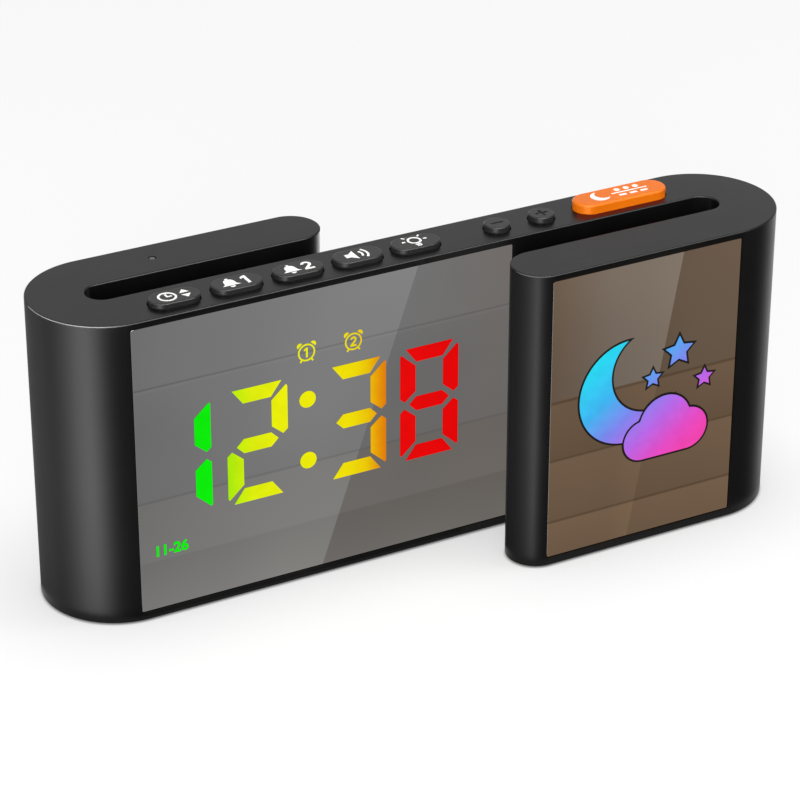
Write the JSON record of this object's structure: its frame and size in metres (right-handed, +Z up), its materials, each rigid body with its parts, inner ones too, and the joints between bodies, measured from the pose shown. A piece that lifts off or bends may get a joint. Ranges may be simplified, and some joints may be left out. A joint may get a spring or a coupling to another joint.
{
  "type": "digital alarm clock",
  "caption": "Table alarm clock with an S-shaped housing of three parallel wings, half-mirror display panels, push buttons on top and two phone slots.",
  "frame": {"origin": "middle of the footprint on the surface that the clock stands on", "axes": "+X along the wings to the right seen from the front, +Y to the back, +Z up"},
  "size_m": [0.189, 0.062, 0.0824],
  "materials": {
    "black_abs": "satin moulded",
    "dark_abs": "matt moulded",
    "button_abs": "fine satin",
    "orange_abs": "fine satin",
    "half_mirror": "half-silvered acrylic",
    "white_abs": "moulded",
    "smoked_film": "printed film",
    "circuit_board": "lacquered",
    "steel": "plated",
    "rubber": "matt",
    "paper_cone": "matt",
    "clear_acrylic": "clear",
    "white_cable": "flat cable"
  },
  "bodies": {
    "clock": {"housing": "black_abs", "bottom_cover": "dark_abs", "time_mirror_panel": "half_mirror", "light_mirror_panel": "half_mirror", "time_film": "smoked_film", "light_film": "smoked_film", "digit_reflector": "white_abs", "display_board": "circuit_board", "light_box": "white_abs", "light_board": "circuit_board", "main_board": "circuit_board", "button_board": "circuit_board", "speaker_frame": "dark_abs", "speaker_cone": "paper_cone", "power_inlet": "steel", "cell_holder": "dark_abs", "coin_cell": "steel", "battery_door": "black_abs", "battery_door_screw": "steel", "light_sensor": "clear_acrylic", "rear_ribbon": "white_cable", "front_ribbon": "white_cable", "board_screw_1": "steel", "board_screw_2": "steel", "board_screw_3": "steel", "base_screw_left_end": "steel", "base_screw_right_end": "steel", "base_screw_rear_tip": "steel", "base_screw_front_tip": "steel", "foot_rear_inner": "rubber", "foot_rear_outer": "rubber", "foot_left": "rubber", "foot_front_inner": "rubber", "foot_front_outer": "rubber", "foot_right": "rubber", "time_switch": "dark_abs", "alarm_1_switch": "dark_abs", "alarm_2_switch": "dark_abs", "volume_switch": "dark_abs", "light_switch": "dark_abs", "minus_switch": "dark_abs", "plus_switch": "dark_abs", "snooze_switch": "dark_abs"},
    "time_key": {"time_button": "button_abs", "time_plunger": "white_abs"},
    "alarm_1_key": {"alarm_1_button": "button_abs", "alarm_1_plunger": "white_abs"},
    "alarm_2_key": {"alarm_2_button": "button_abs", "alarm_2_plunger": "white_abs"},
    "volume_key": {"volume_button": "button_abs", "volume_plunger": "white_abs"},
    "light_key": {"light_button": "button_abs", "light_plunger": "white_abs"},
    "minus_key": {"minus_button": "button_abs", "minus_plunger": "white_abs"},
    "plus_key": {"plus_button": "button_abs", "plus_plunger": "white_abs"},
    "snooze_key": {"snooze_button": "orange_abs", "snooze_plunger": "white_abs"}
  },
  "joints": [
    {"name": "time_press", "type": "slide", "parent": "clock", "child": "time_key", "axis": [0, 0, -1], "range_m": [0, 0.0006], "stiffness_N_per_m": 600, "springref_m": -0.0006},
    {"name": "alarm_1_press", "type": "slide", "parent": "clock", "child": "alarm_1_key", "axis": [0, 0, -1], "range_m": [0, 0.0006], "stiffness_N_per_m": 600, "springref_m": -0.0006},
    {"name": "alarm_2_press", "type": "slide", "parent": "clock", "child": "alarm_2_key", "axis": [0, 0, -1], "range_m": [0, 0.0006], "stiffness_N_per_m": 600, "springref_m": -0.0006},
    {"name": "volume_press", "type": "slide", "parent": "clock", "child": "volume_key", "axis": [0, 0, -1], "range_m": [0, 0.0006], "stiffness_N_per_m": 600, "springref_m": -0.0006},
    {"name": "light_press", "type": "slide", "parent": "clock", "child": "light_key", "axis": [0, 0, -1], "range_m": [0, 0.0006], "stiffness_N_per_m": 600, "springref_m": -0.0006},
    {"name": "minus_press", "type": "slide", "parent": "clock", "child": "minus_key", "axis": [0, 0, -1], "range_m": [0, 0.0006], "stiffness_N_per_m": 600, "springref_m": -0.0006},
    {"name": "plus_press", "type": "slide", "parent": "clock", "child": "plus_key", "axis": [0, 0, -1], "range_m": [0, 0.0006], "stiffness_N_per_m": 600, "springref_m": -0.0006},
    {"name": "snooze_press", "type": "slide", "parent": "clock", "child": "snooze_key", "axis": [0, 0, -1], "range_m": [0, 0.0006], "stiffness_N_per_m": 600, "springref_m": -0.0006}
  ]
}
